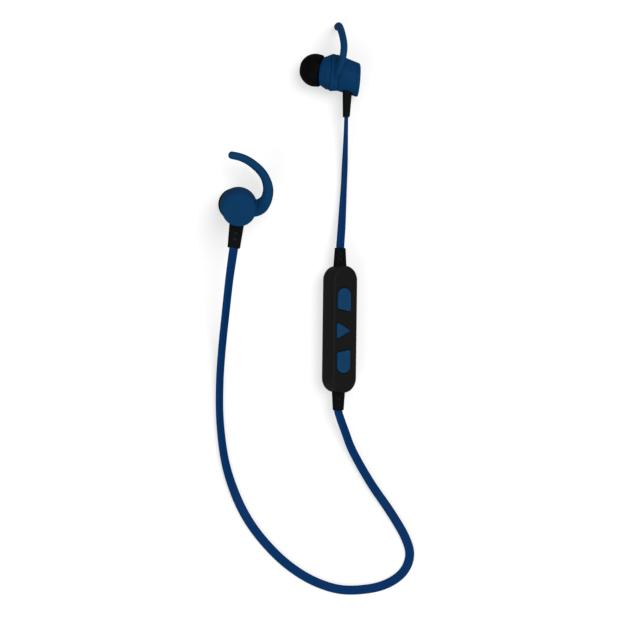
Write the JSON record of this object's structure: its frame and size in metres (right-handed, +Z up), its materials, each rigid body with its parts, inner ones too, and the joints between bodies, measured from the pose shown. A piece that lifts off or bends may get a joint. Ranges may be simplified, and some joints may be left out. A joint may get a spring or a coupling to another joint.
{
  "type": "neckband earphones",
  "caption": "In-ear sport earphones with curved ear hooks and soft tips, joined by a flat behind-the-neck cable with an inline control pod.",
  "frame": {"origin": "on the table, under the middle of the box that holds the buds and the pod without the cable", "axes": "+Z up from the table, +Y along the pod towards the right bud, +X from the left bud towards the pod"},
  "size_m": [0.0743, 0.2148, 0.0227],
  "materials": {
    "housing_blue": "satin",
    "silicone_blue": "matt",
    "silicone_black": "satin",
    "relief_black": "matt",
    "pod_black": "satin",
    "button_blue": "matt",
    "cable_blue": "matt",
    "screen_steel": "satin",
    "magnet_steel": "bright",
    "coil_copper": "bright",
    "film": "clear film",
    "board": "lacquered",
    "chip_black": "matt",
    "cell": "foil",
    "foam": "foam",
    "lamp": "clear"
  },
  "bodies": {
    "earphones": {"left_end_cap": "housing_blue", "left_rear_housing": "housing_blue", "left_front_housing": "housing_blue", "left_nozzle_screen": "screen_steel", "left_strain_relief": "relief_black", "left_driver_frame": "chip_black", "left_driver_yoke": "screen_steel", "left_driver_magnet": "magnet_steel", "left_driver_plate": "screen_steel", "left_voice_coil": "coil_copper", "left_diaphragm": "film", "right_end_cap": "housing_blue", "right_rear_housing": "housing_blue", "right_front_housing": "housing_blue", "right_nozzle_screen": "screen_steel", "right_strain_relief": "relief_black", "right_driver_frame": "chip_black", "right_driver_yoke": "screen_steel", "right_driver_magnet": "magnet_steel", "right_driver_plate": "screen_steel", "right_voice_coil": "coil_copper", "right_diaphragm": "film", "pod_front_cover": "pod_black", "pod_rear_cover": "pod_black", "pod_upper_strain_relief": "relief_black", "pod_lower_strain_relief": "relief_black", "circuit_board": "board", "battery": "cell", "battery_pad": "foam", "radio_chip": "chip_black", "charging_socket": "screen_steel", "microphone": "screen_steel", "status_lamp": "lamp", "volume_up_switch": "screen_steel", "play_switch": "screen_steel", "volume_down_switch": "screen_steel", "right_cable": "cable_blue", "left_cable": "cable_blue"},
    "volume_up": {"volume_up_button": "button_blue", "volume_up_plunger": "lamp"},
    "play": {"play_button": "button_blue", "play_plunger": "lamp"},
    "volume_down": {"volume_down_button": "button_blue", "volume_down_plunger": "lamp"},
    "left_ear_hook": {"left_ear_hook": "silicone_blue"},
    "left_ear_tip": {"left_ear_tip": "silicone_black"},
    "right_ear_hook": {"right_ear_hook": "silicone_blue"},
    "right_ear_tip": {"right_ear_tip": "silicone_black"}
  },
  "joints": [
    {"name": "volume_up_press", "type": "slide", "parent": "earphones", "child": "volume_up", "axis": [-0.5739, 0.007, -0.8189], "range_m": [0, 0.00035], "stiffness_N_per_m": 1000, "springref_m": -0.0001},
    {"name": "play_press", "type": "slide", "parent": "earphones", "child": "play", "axis": [-0.5739, 0.007, -0.8189], "range_m": [0, 0.00035], "stiffness_N_per_m": 1000, "springref_m": -0.0001},
    {"name": "volume_down_press", "type": "slide", "parent": "earphones", "child": "volume_down", "axis": [-0.5739, 0.007, -0.8189], "range_m": [0, 0.00035], "stiffness_N_per_m": 1000, "springref_m": -0.0001},
    {"name": "left_ear_hook_turn", "type": "hinge", "parent": "earphones", "child": "left_ear_hook", "pos_m": [-0.0185, 0.00334, 0.01277], "axis": [0.1, -0.025, 0.9947], "range_deg": [-20, 20]},
    {"name": "right_ear_hook_turn", "type": "hinge", "parent": "earphones", "child": "right_ear_hook", "pos_m": [0.01674, 0.05317, 0.00699], "axis": [0.9945, -0.067, -0.08], "range_deg": [-20, 20]},
    {"name": "left_ear_tip_turn", "type": "hinge", "parent": "earphones", "child": "left_ear_tip", "pos_m": [-0.01965, 0.00386, 0.00804], "axis": [0.3356, -0.168, 0.9269], "continuous": true},
    {"name": "right_ear_tip_turn", "type": "hinge", "parent": "earphones", "child": "right_ear_tip", "pos_m": [0.0119, 0.05384, 0.00667], "axis": [0.9666, -0.1861, 0.1761], "continuous": true}
  ]
}
